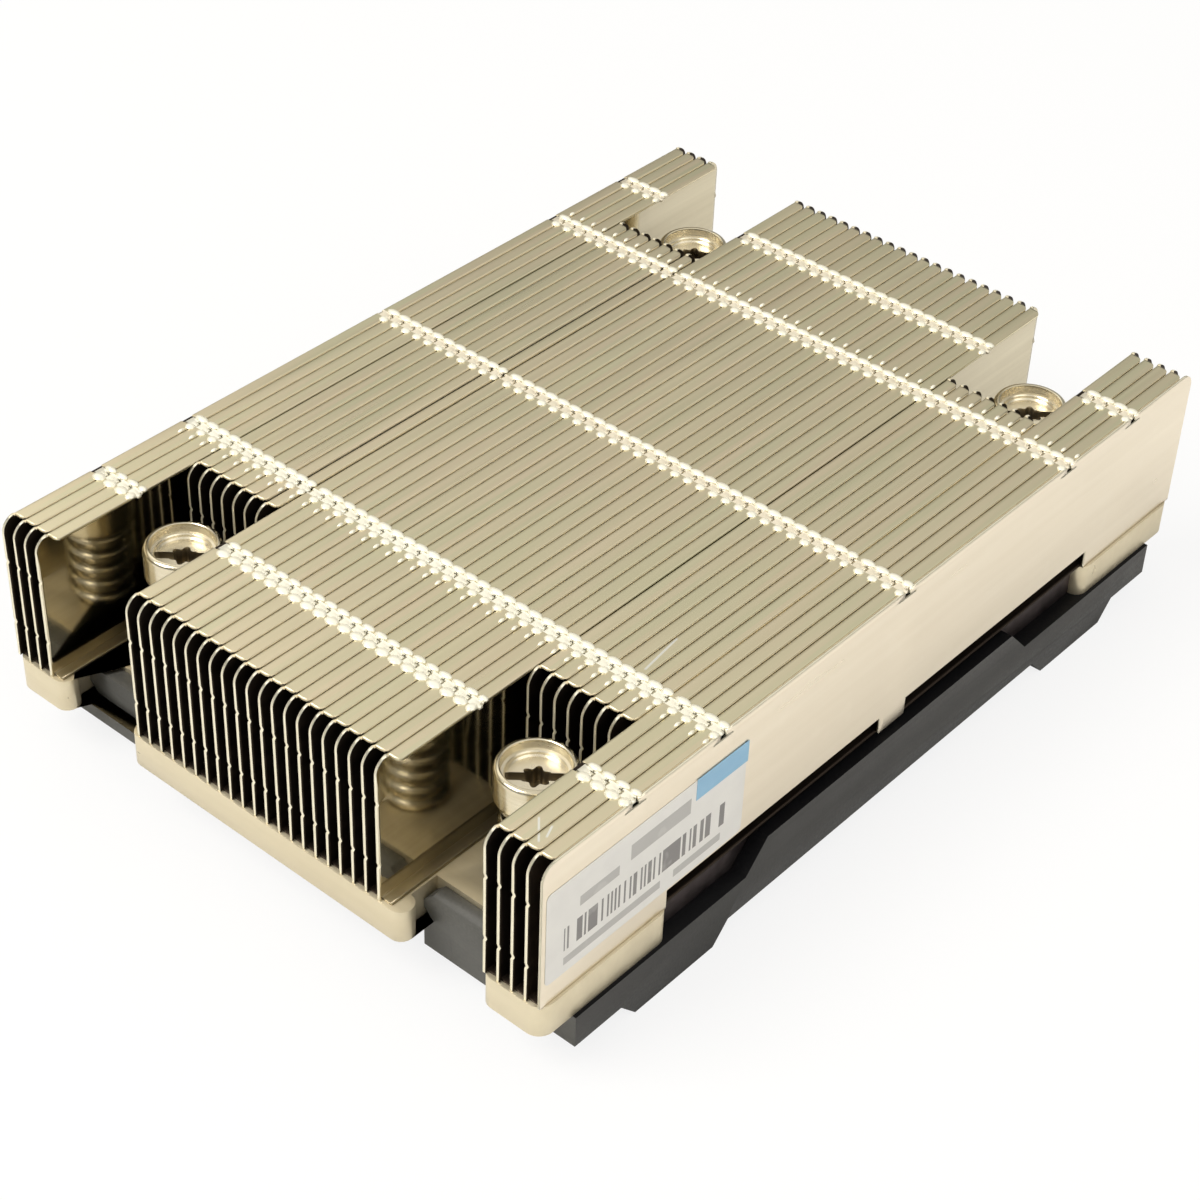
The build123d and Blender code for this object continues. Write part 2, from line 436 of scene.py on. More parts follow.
# Painted light: the flange rims are pale and matte so that the narrow grooves between flanges read lighter
# than their shade.
FLANGE_EDGE_LIT = Finish(
    "fin_flange_edge_painted_light", (0.92, 0.80, 0.55), (0.78, 0.67, 0.44), (0.45, 0.6), (500.0, 500.0, 500.0), 6.0,
    scratch=0.0, metallic=0.1,
)
# Painted highlight: the cut edges of the sheets are near white for the light they catch.
CUT_EDGE_HIGHLIGHT = Finish(
    "fin_cut_edge_painted_highlight", (0.98, 0.93, 0.76), (0.88, 0.82, 0.63), (0.30, 0.45), (500.0, 500.0, 500.0), 8.0,
    scratch=0.0, metallic=0.6,
)
# Painted highlight: the pressed beads and the front lock bands are a near-white copy of the plating for the
# glints they catch.
LOCK_TAB_HIGHLIGHT = Finish(
    "fin_lock_tab_painted_highlight", (1.0, 0.98, 0.86), (0.96, 0.92, 0.76), (0.22, 0.38), (900.0, 900.0, 900.0), 10.0,
    scratch=0.0, metallic=0.35,
)
# Painted highlight: the lock bands of the back rows are a pale copy of the plating for the light they catch.
LOCK_BAND_HIGHLIGHT = Finish(
    "fin_lock_band_painted_highlight", (0.97, 0.90, 0.74), (0.90, 0.81, 0.63), (0.26, 0.40), (700.0, 700.0, 700.0), 8.0,
    scratch=0.0, metallic=0.45,
)
BAY_WALL = Finish(
    "bay_wall_plating", (0.70, 0.64, 0.49), (0.56, 0.50, 0.37), (0.07, 0.12), (900.0, 25.0, 700.0), 2.0,
    smear=0.4, smear_size=0.015, scratch=0.1,
)
SIDE_SHEET = Finish(
    "side_plating", (0.92, 0.84, 0.70), (0.84, 0.75, 0.60), (0.24, 0.36), (900.0, 30.0, 500.0),
    smear=0.45, smear_size=0.03,
)
BASE_PLATING = Finish(
    "base_plating", (0.78, 0.70, 0.52), (0.68, 0.60, 0.43), (0.26, 0.42), (60.0, 700.0, 500.0), 8.0,
    smear=0.45, smear_size=0.02, scratch=0.05, metallic=0.65,
)
# Painted shade: a dark copy of the base plating on the upright faces inside the side recess.
RECESS_SHADE = Finish(
    "base_recess_painted_shade", (0.13, 0.11, 0.11), (0.07, 0.055, 0.055), (0.35, 0.5), (60.0, 700.0, 500.0), 6.0,
    scratch=0.0,
)
BLACK_PLASTIC = Finish(
    "frame_moulding", (0.020, 0.019, 0.018), (0.011, 0.011, 0.010), (0.36, 0.52), MOULD_GRAIN, 18.0,
    smear=0.35, scratch=0.3, metallic=0.0, broad=0.2, specular=0.7,
)
# Painted shade: a near-black copy of the moulding on the frame's upward faces, which lie in shade under the
# plate.
FRAME_TOP_SHADE = Finish(
    "frame_top_painted_shade", (0.006, 0.006, 0.007), (0.003, 0.003, 0.004), (0.45, 0.6), MOULD_GRAIN, 18.0,
    metallic=0.0, broad=0.2, specular=0.12,
)
# Painted light: a lighter grey copy of the black moulding on the frame's end tabs, which show lit.
FRAME_TAB_LIT = Finish(
    "frame_tab_painted_light", (0.115, 0.115, 0.108), (0.085, 0.085, 0.080), (0.45, 0.6), MOULD_GRAIN, 18.0,
    smear=0.35, scratch=0.3, metallic=0.0, broad=0.2, specular=0.4,
)
SPRING_STEEL = Finish(
    "spring_wire", (0.60, 0.57, 0.49), (0.42, 0.39, 0.32), (0.12, 0.22), (300.0, 300.0, 900.0), scratch=0.1
)
CLIP_STEEL = Finish(
    "clip_spring_steel", (0.30, 0.30, 0.30), (0.19, 0.19, 0.19), (0.28, 0.42), (900.0, 900.0, 900.0), 6.0
)
COMPOUND = Finish(
    "thermal_compound", (0.44, 0.45, 0.46), (0.33, 0.34, 0.35), (0.55, 0.75), (420.0, 420.0, 420.0), 60.0,
    smear=0.5, smear_size=0.008, scratch=0.0, metallic=0.0,
)
BLUE_FILM = Finish(
    "blue_marker_film", (0.25, 0.50, 0.72), (0.19, 0.42, 0.64), (0.22, 0.36), (240.0, 240.0, 240.0), 40.0,
    smear=0.4, smear_size=0.006, metallic=0.0, coat=0.3,
)
SCREW_PLATING = Finish(
    "screw_plating", (0.82, 0.76, 0.60), (0.66, 0.59, 0.43), (0.16, 0.26), (60.0, 60.0, 2600.0),
    smear_size=0.004, scratch=0.15,
)
CUP_PLATING = Finish(
    "screw_cup_plating", (0.84, 0.78, 0.62), (0.64, 0.57, 0.42), (0.18, 0.30), (240.0, 240.0, 1600.0),
    smear=0.6, smear_size=0.003, scratch=0.15, metallic=0.8,
)
# Painted shade: a dark copy of the screw plating inside the driver socket.
SOCKET_SHADE = Finish(
    "screw_socket_painted_shade", (0.38, 0.33, 0.24), (0.24, 0.20, 0.14), (0.25, 0.4), (500.0, 500.0, 500.0),
    scratch=0.0,
)


def place_object(name: str, data: bpy.types.ID) -> bpy.types.Object:
    """Make an object of some data and put it in the scene."""
    made = bpy.data.objects.new(name, data)
    bpy.context.scene.collection.objects.link(made)
    return made


def stored_mesh(name: str, mesh: Mesh) -> bpy.types.Mesh:
    """Turn a working mesh into mesh data and free it."""
    data = bpy.data.meshes.new(name)
    mesh.to_mesh(data)
    mesh.free()
    return data


def finish_piece(
    name: str,
    mesh: Mesh,
    finishes: Iterable[Finish],
    nodes: Iterable[str] = (),
    body: str = "heatsink",
    smooth_deg: float = 38.0,
) -> bpy.types.Object:
    """Turn a mesh in millimetres into an object in metres that rides on a body.

    Args:
        name: The piece's name.
        mesh: Its shape.
        finishes: The finishes, in the order of the mesh's material numbers.
        nodes: CAD nodes that this piece stands for.
        body: The CAD body that carries the piece.
        smooth_deg: Edges sharper than this angle stay crisp.

    Returns:
        The finished object.
    """
    bmesh.ops.scale(mesh, vec=(MM, MM, MM), verts=mesh.verts)
    data = stored_mesh(name, mesh)
    data.shade_smooth()
    data.set_sharp_from_angle(angle=math.radians(smooth_deg))
    for finish in finishes:
        data.materials.append(finish.build())
    made = place_object(name, data)
    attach(made, body)
    if nodes:
        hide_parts(*nodes)
    LOG.info("piece %s: %d faces on %s", name, len(data.polygons), body)
    return made


def node_box(node: str) -> tuple[Vector, Vector]:
    """The lowest and highest corner of a CAD node, in millimetres."""
    low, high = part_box(node)
    return low / MM, high / MM


def near(first: float, second: float) -> bool:
    """Whether two measures are the same."""
    return abs(first - second) < TOUCH


def add_face(mesh: Mesh, corners: Iterable[Point]) -> None:
    """Add one flat face."""
    mesh.faces.new([mesh.verts.new(corner) for corner in corners])


def cut(mesh: Mesh, axis: int, places: Iterable[float]) -> None:
    """Score a mesh with planes square to an axis.

    Args:
        mesh: The mesh to score.
        axis: 0, 1 or 2 for X, Y or Z.
        places: Where the planes stand.
    """
    normal = Vector((0.0, 0.0, 0.0))
    normal[axis] = 1.0
    for place in places:
        geom = [*mesh.verts, *mesh.edges, *mesh.faces]
        bmesh.ops.bisect_plane(mesh, geom=geom, dist=1e-5, plane_co=normal * place, plane_no=normal)


def remove_faces(mesh: Mesh, test: Callable[[Vector], bool]) -> None:
    """Delete the faces whose middle passes a test, and what hangs loose then."""
    doomed = [face for face in mesh.faces if test(face.calc_center_median())]
    bmesh.ops.delete(mesh, geom=doomed, context="FACES")


def edges_where(mesh: Mesh, test: Callable[[Vector], bool], is_open: bool = True) -> list[Edge]:
    """The edges with both ends passing a test, open ones alone unless told otherwise."""
    return [
        edge
        for edge in mesh.edges
        if (edge.is_boundary or not is_open) and all(test(vert.co) for vert in edge.verts)
    ]


def pull(mesh: Mesh, items: list, shift: Point) -> Corners:
    """Extrude open edges, or faces, by a shift and return the new corners."""
    if isinstance(items[0], Edge):
        grown = bmesh.ops.extrude_edge_only(mesh, edges=items)["geom"]
    else:
        grown = bmesh.ops.extrude_face_region(mesh, geom=items)["geom"]
    tips = [item for item in grown if isinstance(item, bmesh.types.BMVert)]
    bmesh.ops.translate(mesh, verts=tips, vec=shift)
    return tips


def raised(mesh: Mesh, shift: Point) -> Mesh:
    """Extrude a mesh's one face into a closed bar."""
    pull(mesh, mesh.faces[:], shift)
    return outwards(mesh)


def outwards(mesh: Mesh) -> Mesh:
    """Turn a mesh's faces outwards."""
    bmesh.ops.recalc_face_normals(mesh, faces=mesh.faces)
    return mesh


def round_corners(mesh: Mesh, corners: Corners, reach: float, segments: int) -> None:
    """Round corners of a flat face."""
    bmesh.ops.bevel(
        mesh, geom=corners, offset=reach, segments=segments, profile=0.5, affect="VERTICES", material=-1
    )


def round_edges(mesh: Mesh, edges: list[Edge], reach: float, segments: int) -> None:
    """Round edges, as far as their faces have room."""
    bmesh.ops.bevel(
        mesh, geom=edges, offset=reach, segments=segments, profile=0.5, affect="EDGES",
        clamp_overlap=True, material=-1,
    )


def add_modifier(target: bpy.types.Object, kind: str, **settings: object) -> None:
    """Add a modifier with its settings."""
    made = target.modifiers.new(kind.lower(), kind)
    for name, value in settings.items():
        setattr(made, name, value)


def softened_copy(node: str, width: float, upright: float = 0.0) -> Mesh:
    """A CAD node's shape with merged corners, joined flat areas and rounded edges.

    Args:
        node: The CAD node to copy.
        width: How far the rounding reaches from each edge.
        upright: Rounding of the upright corners, or 0 for the common width.

    Returns:
        The new mesh.
    """
    mesh = bmesh.new()
    mesh.from_mesh(bpy.data.objects[node].data)
    bmesh.ops.scale(mesh, vec=(1 / MM, 1 / MM, 1 / MM), verts=mesh.verts)
    bmesh.ops.remove_doubles(mesh, verts=mesh.verts, dist=TOUCH)
    bmesh.ops.dissolve_limit(mesh, angle_limit=math.radians(1.0), verts=mesh.verts, edges=mesh.edges)
    for face in mesh.faces:
        face.material_index = 0
    mesh.normal_update()

    def sharp(least_deg: float) -> list[Edge]:
        """The outward edges that turn by more than an angle."""
        least = math.radians(least_deg)
        folds = [edge for edge in mesh.edges if len(edge.link_faces) == 2 and edge.is_convex]
        return [edge for edge in folds if edge.calc_face_angle() > least]

    def rises(edge: Edge) -> float:
        """How much of an edge's length is rise."""
        return abs(edge.verts[0].co.z - edge.verts[1].co.z) / edge.calc_length()

    if upright:
        round_edges(mesh, [edge for edge in sharp(60.0) if rises(edge) > 0.99], upright, 5)
        mesh.normal_update()
    round_edges(mesh, sharp(28.0), width, 2)
    mesh.normal_update()
    return mesh


@dataclass(frozen=True)
class Bead:
    """A pressed bead beside a row, placed from the row and the flange's edge."""

    along: float
    across: float
    width: float
    length: float


@dataclass
class FinStack:
    """The folded sheet fins, their interlocking rows and the side plate."""

    count: int = 44
    sheet: float = 0.35
    margin: float = 2.0
    wall_corner: float = 2.0
    flange_corner: float = 0.8
    foot_corner: float = 0.15
    bend: float = 0.28
    foot_margin: float = 0.4
    flange_extra: float = 0.02
    loose: tuple[int, ...] = (10, 11)
    loose_gap: float = 0.17

    outer_rows: Pair = (-47.6, 47.6)
    inner_rows: Point = (-33.25, 0.0, 33.25)
    band: float = 0.62
    window: float = 0.42
    window_reach: float = 0.48
    window_depth: float = 0.3
    notch_half: float = 0.9
    notch_reach: float = 0.62
    fold_reach: float = 0.06
    wall_play: float = 0.004
    notch_skin: float = 0.05
    top_skin: float = 0.1
    tongue_side: float = 0.14
    tongue_root: float = 0.22
    tongue_step: Point = (0.3, 0.0, 0.03)

    bead_rise: float = 0.3
    bead_reaches: Point = (0.25, 0.42, 0.95)
    least_bead: float = 1.0
    back_beads: tuple[Bead, ...] = (
        Bead(-1.02, 0.0, 1.35, 1.25),
        Bead(1.0, -0.1, 2.15, 1.15),
        Bead(-2.4, -0.12, 0.5, 1.0),
    )
    front_beads: tuple[Bead, ...] = (Bead(-0.98, -0.02, 1.9, 1.5), Bead(0.95, -0.1, 1.9, 1.0))

    kink_depths: Pair = (6.0, 15.0)
    kink_half: float = 0.42
    kink_push: float = 0.2
    kink_reach: float = 2.2

    side_cut_half: float = 41.4
    side_cut_height: float = 2.7
    side_tab_half: float = 2.5
    side_tab_gap: float = 0.25
    side_lock_half: float = 0.55
    side_lock_wide: float = 1.7
    side_lock_depths: Pair = (0.95, 0.7)

    templates: dict[tuple[float, ...], bpy.types.Mesh] = field(default_factory=dict)

    def _rows(self, half: float) -> list[float]:
        """The interlocking rows that a fin of this half length reaches."""
        rows = [*self.inner_rows, *self.outer_rows]
        return sorted(row for row in rows if abs(row) < half)

    def _wall(self, half: float, height: float) -> Mesh:
        """The upright sheet with its two rounded upper corners, facing left."""
        mesh = bmesh.new()
        add_face(mesh, [(0, -half, 0), (0, -half, height), (0, half, height), (0, half, 0)])
        upper = [vert for vert in mesh.verts if vert.co.z > height / 2]
        round_corners(mesh, upper, self.wall_corner, 8)
        return mesh

    def _add_flange(self, mesh: Mesh, level: float, half: float, width: float, corner: float) -> None:
        """Fold a flange out to the right along the wall's edge at a level.

        Args:
            mesh: The upright sheet.
            level: Height of the edge that is folded.
            half: Half the flange's length.
            width: The flange's width.
            corner: Rounding of its two free corners.
        """
        edges = edges_where(mesh, lambda spot: near(spot.z, level) and abs(spot.y) < half + TOUCH)
        tips = pull(mesh, edges, (width, 0, 0))
        ends = [vert for vert in tips if abs(abs(vert.co.y) - half) < 0.1]
        round_corners(mesh, ends, corner, 3)
        bends = edges_where(mesh, lambda spot: near(spot.z, level) and near(spot.x, 0), is_open=False)
        round_edges(mesh, bends, self.bend, 3)

    def _interlock(
        self, mesh: Mesh, rows: list[float], free: list[float], height: float, width: float
    ) -> None:
        """Cut the windows in the fold and grow the tongues at the flange's free edge.

        Args:
            mesh: The folded fin.
            rows: Places of the rows along the fin.
            free: Rows where no fin stands on the left, so that the whole notch shows.
            height: Height of the top flange.
            width: Width of the top flange.
        """
        low_edges = (-self.notch_half, -self.band, -self.window)
        edges = (*low_edges, self.tongue_side, *(-edge for edge in reversed(low_edges)))
        root = width - self.tongue_root
        cut(mesh, 1, [row + edge for row in rows for edge in edges])
        cut(mesh, 0, [self.window_reach, self.notch_reach, root])
        cut(mesh, 2, [height - self.window_depth])
        for row in rows:
            opened = row in free
            half = self.notch_half if opened else self.window
            reach = self.notch_reach if opened else self.window_reach
            wall = self.wall_play if opened else -1.0

            def is_cut(spot: Vector) -> bool:
                """Whether a face at this spot falls out."""
                side = spot.y - row
                in_fold = not opened and abs(side) < self.notch_half and spot.x < self.fold_reach
                in_window = abs(side) < half and wall < spot.x < reach
                beside_tongue = self.tongue_side < side < self.window and spot.x > root
                top = spot.z > height - self.window_depth - TOUCH
                return top and (in_fold or in_window or beside_tongue)

            def is_tongue(spot: Vector) -> bool:
                """Whether a spot lies on the tongue's free edge."""
                on_edge = near(spot.x, width) and spot.z > height / 2
                return on_edge and -self.window - TOUCH < spot.y - row < self.tongue_side + TOUCH

            remove_faces(mesh, is_cut)
            pull(mesh, edges_where(mesh, is_tongue), self.tongue_step)

    def _bead_reach(self, row: float, half: float, after: float) -> float:
        """How far a row's beads may stand out, by what stands on the right of the fin."""
        free, below_longer, common = self.bead_reaches
        return free if abs(row) > after else below_longer if after > half else common

    def _bead(self, mesh: Mesh, centre: Vector, width: float, length: float) -> None:
        """Lay one pressed bead over the gap beside the fin.

        Args:
            mesh: The mesh that receives the bead.
            centre: Middle of the bead's foot.
            width: Its width.
            length: Its length along the fin.
        """
        grown = bmesh.ops.create_icosphere(mesh, subdivisions=2, radius=1.0)["verts"]
        low = [vert for vert in grown if vert.co.z < -0.05]
        bmesh.ops.delete(mesh, geom=low, context="VERTS")
        cap = [vert for vert in grown if vert.is_valid]
        for vert in cap:
            reach = (vert.co.x * width / 2, vert.co.y * length / 2, vert.co.z * self.bead_rise)
            vert.co = centre + Vector(reach)
        for face in {face for vert in cap for face in vert.link_faces}:
            # The bead carries the painted highlight of the lock tabs.
            face.material_index = Zone.TAB

    def _dress(
        self, mesh: Mesh, rows: dict[float, float], free: list[float], height: float, width: float
    ) -> None:
        """Number the faces and lay the beads of every row.

        Args:
            mesh: The folded fin.
            rows: Places of the rows, each with how far its beads may stand out past the flange.
            free: Rows with an open notch, whose inside takes painted shade.
            height: Height of the top flange.
            width: Width of the top flange.
        """
        for face in mesh.faces:
            if abs(face.normal.z) > 0.5:
                face.material_index = Zone.TOP if face.calc_center_median().z > height / 2 else Zone.FOOT
        # Faces of an open notch take painted shade on their rim, and lock bands take painted highlights.
        for row, reach in rows.items():
            for face in mesh.faces:
                spot = face.calc_center_median()
                side = abs(spot.y - row)
                in_notch = row in free and side < self.notch_half and spot.x < self.notch_skin
                if in_notch and spot.z > height / 2:
                    face.material_index = Zone.NOTCH
                elif side < self.band and spot.z > height - self.top_skin:
                    face.material_index = Zone.TAB if row < 0 else Zone.BAND
            is_front = row < min(self.inner_rows)
            for bead in self.front_beads if is_front else self.back_beads:
                small = bead.width < self.least_bead
                if small and abs(row) != max(self.inner_rows):
                    continue
                along = -bead.along if small and row > 0 else bead.along
                start = bead.across - bead.width / 2
                end = min(bead.across + bead.width / 2, reach)
                middle = Vector((width + (start + end) / 2, row + along, height))
                self._bead(mesh, middle, end - start, bead.length)

    def _kinks(self, mesh: Mesh, half: float, height: float) -> None:
        """Press the two small kinks into each upright edge."""
        levels = [height - depth for depth in self.kink_depths]
        cut(mesh, 2, [level + step * self.kink_half for level in levels for step in (-1, 0, 1)])
        cut(mesh, 1, [side * (half - self.kink_reach) for side in (-1, 1)])
        for vert in mesh.verts:
            at_level = any(near(vert.co.z, level) for level in levels)
            if at_level and near(vert.co.x, 0) and near(abs(vert.co.y), half):
                vert.co.x += self.kink_push

    def _template(
        self, half: float, height: float, width: float, before: float, after: float
    ) -> bpy.types.Mesh:
        """A fin of one kind at the origin, in millimetres, made once.

        Args:
            half: Half the fin's length.
            height: The fin's height with its beads.
            width: The fin's width.
            before: Half the length of the sheet on the left.
            after: Half the length of the sheet on the right.

        Returns:
            The stored mesh.
        """
        key = (half, before, after, width)
        if key not in self.templates:
            rows = self._rows(half)
            free = [row for row in rows if abs(row) > before]
            reaches = {row: self._bead_reach(row, half, after) for row in rows}
            top = height - self.bead_rise
            mesh = self._wall(half, top)
            margins = (self.margin, self.foot_margin)
            cut(mesh, 1, [side * (half - margin) for side in (-1, 1) for margin in margins])
            self._add_flange(mesh, 0.0, half - self.foot_margin, width, self.foot_corner)
            self._add_flange(mesh, top, half - self.margin, width, self.flange_corner)
            self._interlock(mesh, rows, free, top, width)
            self._kinks(mesh, half, top)
            bmesh.ops.remove_doubles(mesh, verts=mesh.verts, dist=MERGE)
            outwards(mesh)
            upright = max(mesh.faces, key=lambda face: face.calc_area())
            if upright.normal.x > 0:
                bmesh.ops.reverse_faces(mesh, faces=mesh.faces)
            self._dress(mesh, reaches, free, top, width)
            self.templates[key] = stored_mesh("fin_template", mesh)
        return self.templates[key]

    def _half(self, number: int) -> float:
        """Half the length of a sheet by its number, nothing before the first, endless after the last."""
        if number < 1:
            return 0.0
        if number >= self.count:
            return math.inf
        return round(node_box(f"fin_{number:02d}")[1].y, 4)

    def _thicken(self, sheet: bpy.types.Object, **settings: int) -> None:
        """Give a folded surface its sheet thickness, inwards."""
        add_modifier(
            sheet, "SOLIDIFY", thickness=self.sheet * MM, offset=-1.0, use_even_offset=True,
            material_offset_rim=1, **settings,
        )
        add_modifier(sheet, "WEIGHTED_NORMAL", keep_sharp=True)

    def build_fin(self, number: int) -> None:
        """Build one folded fin in the place of its CAD node."""
        node = f"fin_{number:02d}"
        low, high = node_box(node)
        before, half, after = (self._half(number + step) for step in (-1, 0, 1))
        gap = self.loose_gap if number in self.loose else 0.0
        width = round(high.x - low.x + self.flange_extra - gap, 3)
        mesh = bmesh.new()
        mesh.from_mesh(self._template(half, high.z - low.z, width, before, after))
        bmesh.ops.translate(mesh, verts=mesh.verts, vec=(low.x, 0, low.z))
        # Sides, rims and feet hidden in the gaps take painted shade, flange rims and cut edges take painted
        # light, and beads and lock bands take painted highlights.
        inner = BAY_WALL if after < half else CHANNEL_SHADE
        outer = CHAMPAGNE if before < half else CHANNEL_SHADE
        rim, foot = (TOP_SHEET, FOOT_SHEET) if after < half else (FLANGE_EDGE_LIT, CHANNEL_SHADE)
        zones = {
            Zone.WALL: (outer, CUT_EDGE_HIGHLIGHT, inner),
            Zone.TOP: (TOP_SHEET, rim, inner),
            Zone.TAB: (LOCK_TAB_HIGHLIGHT, LOCK_TAB_HIGHLIGHT, LOCK_TAB_HIGHLIGHT),
            Zone.BAND: (LOCK_BAND_HIGHLIGHT, LOCK_BAND_HIGHLIGHT, inner),
            Zone.NOTCH: (outer, CHANNEL_SHADE, inner),
            Zone.FOOT: (CHANNEL_SHADE, foot, foot),
        }
        finishes = [finish for zone in Zone for finish in zones[zone]]
        sheet = finish_piece(f"sheet_{node}", mesh, finishes, [node])
        self._thicken(sheet, material_offset=2)

    def build_side_plate(self) -> None:
        """Build the plain plate that closes the stack on the right."""
        low, high = node_box("side_plate")
        height = high.z - low.z - self.bead_rise
        half = high.y
        mesh = self._wall(half, height)
        cut(mesh, 1, [side * edge for edge in (self.side_cut_half, self.side_tab_half) for side in (-1, 1)])
        cut(mesh, 2, [self.side_tab_gap, self.side_cut_height])
        remove_faces(
            mesh,
            lambda spot: abs(spot.y) < self.side_cut_half
            and spot.z < self.side_cut_height
            and (abs(spot.y) > self.side_tab_half or spot.z < self.side_tab_gap),
        )
        rows = self._rows(half)
        edges = (self.side_lock_half, self.side_lock_wide)
        bottom, shoulder = (height - depth for depth in self.side_lock_depths)
        cut(mesh, 1, [row + side * edge for row in rows for side in (-1, 1) for edge in edges])
        cut(mesh, 2, [bottom, shoulder])

        def is_cut(spot: Vector) -> bool:
            """Whether a face at this spot falls out of a row's lock."""
            side = min(abs(spot.y - row) for row in rows)
            return spot.z > bottom and (side < edges[0] or (side < edges[1] and spot.z < shoulder))

        remove_faces(mesh, is_cut)
        outwards(mesh)
        if mesh.faces[:][0].normal.x < 0:
            bmesh.ops.reverse_faces(mesh, faces=mesh.faces)
        bmesh.ops.translate(mesh, verts=mesh.verts, vec=(high.x, 0, low.z))
        # The side plate's cut edges carry the painted highlight.
        finishes = (SIDE_SHEET, CUT_EDGE_HIGHLIGHT)
        self._thicken(finish_piece("sheet_side_plate", mesh, finishes, ["side_plate"]))

    def build(self) -> None:
        """Build all fins and the side plate."""
        for number in range(1, self.count):
            self.build_fin(number)
        self.build_side_plate()


@dataclass
class Carrier:
    """The plated base, the moulded frame below it and the thermal pad."""

    base_edge: float = 0.3
    base_corner: float = 1.6
    recess_half: float = 41.0
    recess_least: float = 1.0
    frame_edge: float = 0.3
    frame_wall: float = 2.2
    pad_edge: float = 0.1

    def build(self) -> None:
        """Build the three pieces over their CAD nodes."""
        base = softened_copy("base_plate", self.base_edge, self.base_corner)
        side = node_box("base_plate")[1].x - self.recess_least
        for face in base.faces:
            spot = face.calc_center_median()
            # Upright faces inside the recess take painted shade.
            if abs(face.normal.x) > 0.1 and abs(spot.x) < side and abs(spot.y) < self.recess_half:
                face.material_index = 1
        finish_piece("plated_base", base, (BASE_PLATING, RECESS_SHADE), ["base_plate"])
        frame = softened_copy("frame", self.frame_edge)
        end = node_box("frame")[1].y - self.frame_wall
        for face in frame.faces:
            # The frame's end tabs take painted light.
            if abs(face.calc_center_median().y) > end:
                face.material_index = 2
            # The frame's upward faces take painted shade.
            elif face.normal.z > 0.4:
                face.material_index = 1
        finishes = (BLACK_PLASTIC, FRAME_TOP_SHADE, FRAME_TAB_LIT)
        finish_piece("moulded_frame", frame, finishes, ["frame"])
        pad = softened_copy("thermal_pad", self.pad_edge)
        finish_piece("compound_pad", pad, (COMPOUND,), ["thermal_pad"])


@dataclass
class Sticker:
    """The paper label on the side plate and the blue marker film over its corner."""

    corner: float = 0.7
    film_thickness: float = 0.05
    film_length: float = 8.8
    film_height: float = 3.0
    film_past_end: float = 0.2
    film_past_top: float = 0.1

    def build(self) -> None:
        """Build the label and the film."""
        low, high = node_box("side_label")
        paper = bmesh.new()
        spots = ((low.y, low.z), (high.y, low.z), (high.y, high.z), (low.y, high.z))
        add_face(paper, [(low.x, y, z) for y, z in spots])
        round_corners(paper, paper.verts[:], self.corner, 4)
        raised(paper, (high.x - low.x - self.film_thickness, 0, 0))
        printed = PrintedPaper(
            "label_paper", (0.80, 0.79, 0.76), (0.72, 0.71, 0.69), (0.35, 0.5), (300.0, 300.0, 300.0), 10.0,
            smear_size=0.02, scratch=0.0, metallic=0.0, front=low.y * MM, bottom=low.z * MM,
        )
        finish_piece("side_label_paper", paper, (printed,), ["side_label"])
        film = bmesh.new()
        outer = high.x - self.film_thickness
        back, upper = high.y + self.film_past_end, high.z + self.film_past_top
        front, lower = back - self.film_length, upper - self.film_height
        spots = ((front, upper), (front, lower), (back, lower), (back, upper))
        add_face(film, [(outer, y, z) for y, z in spots])
        raised(film, (self.film_thickness, 0, 0))
        finish_piece("blue_film", film, (BLUE_FILM,))


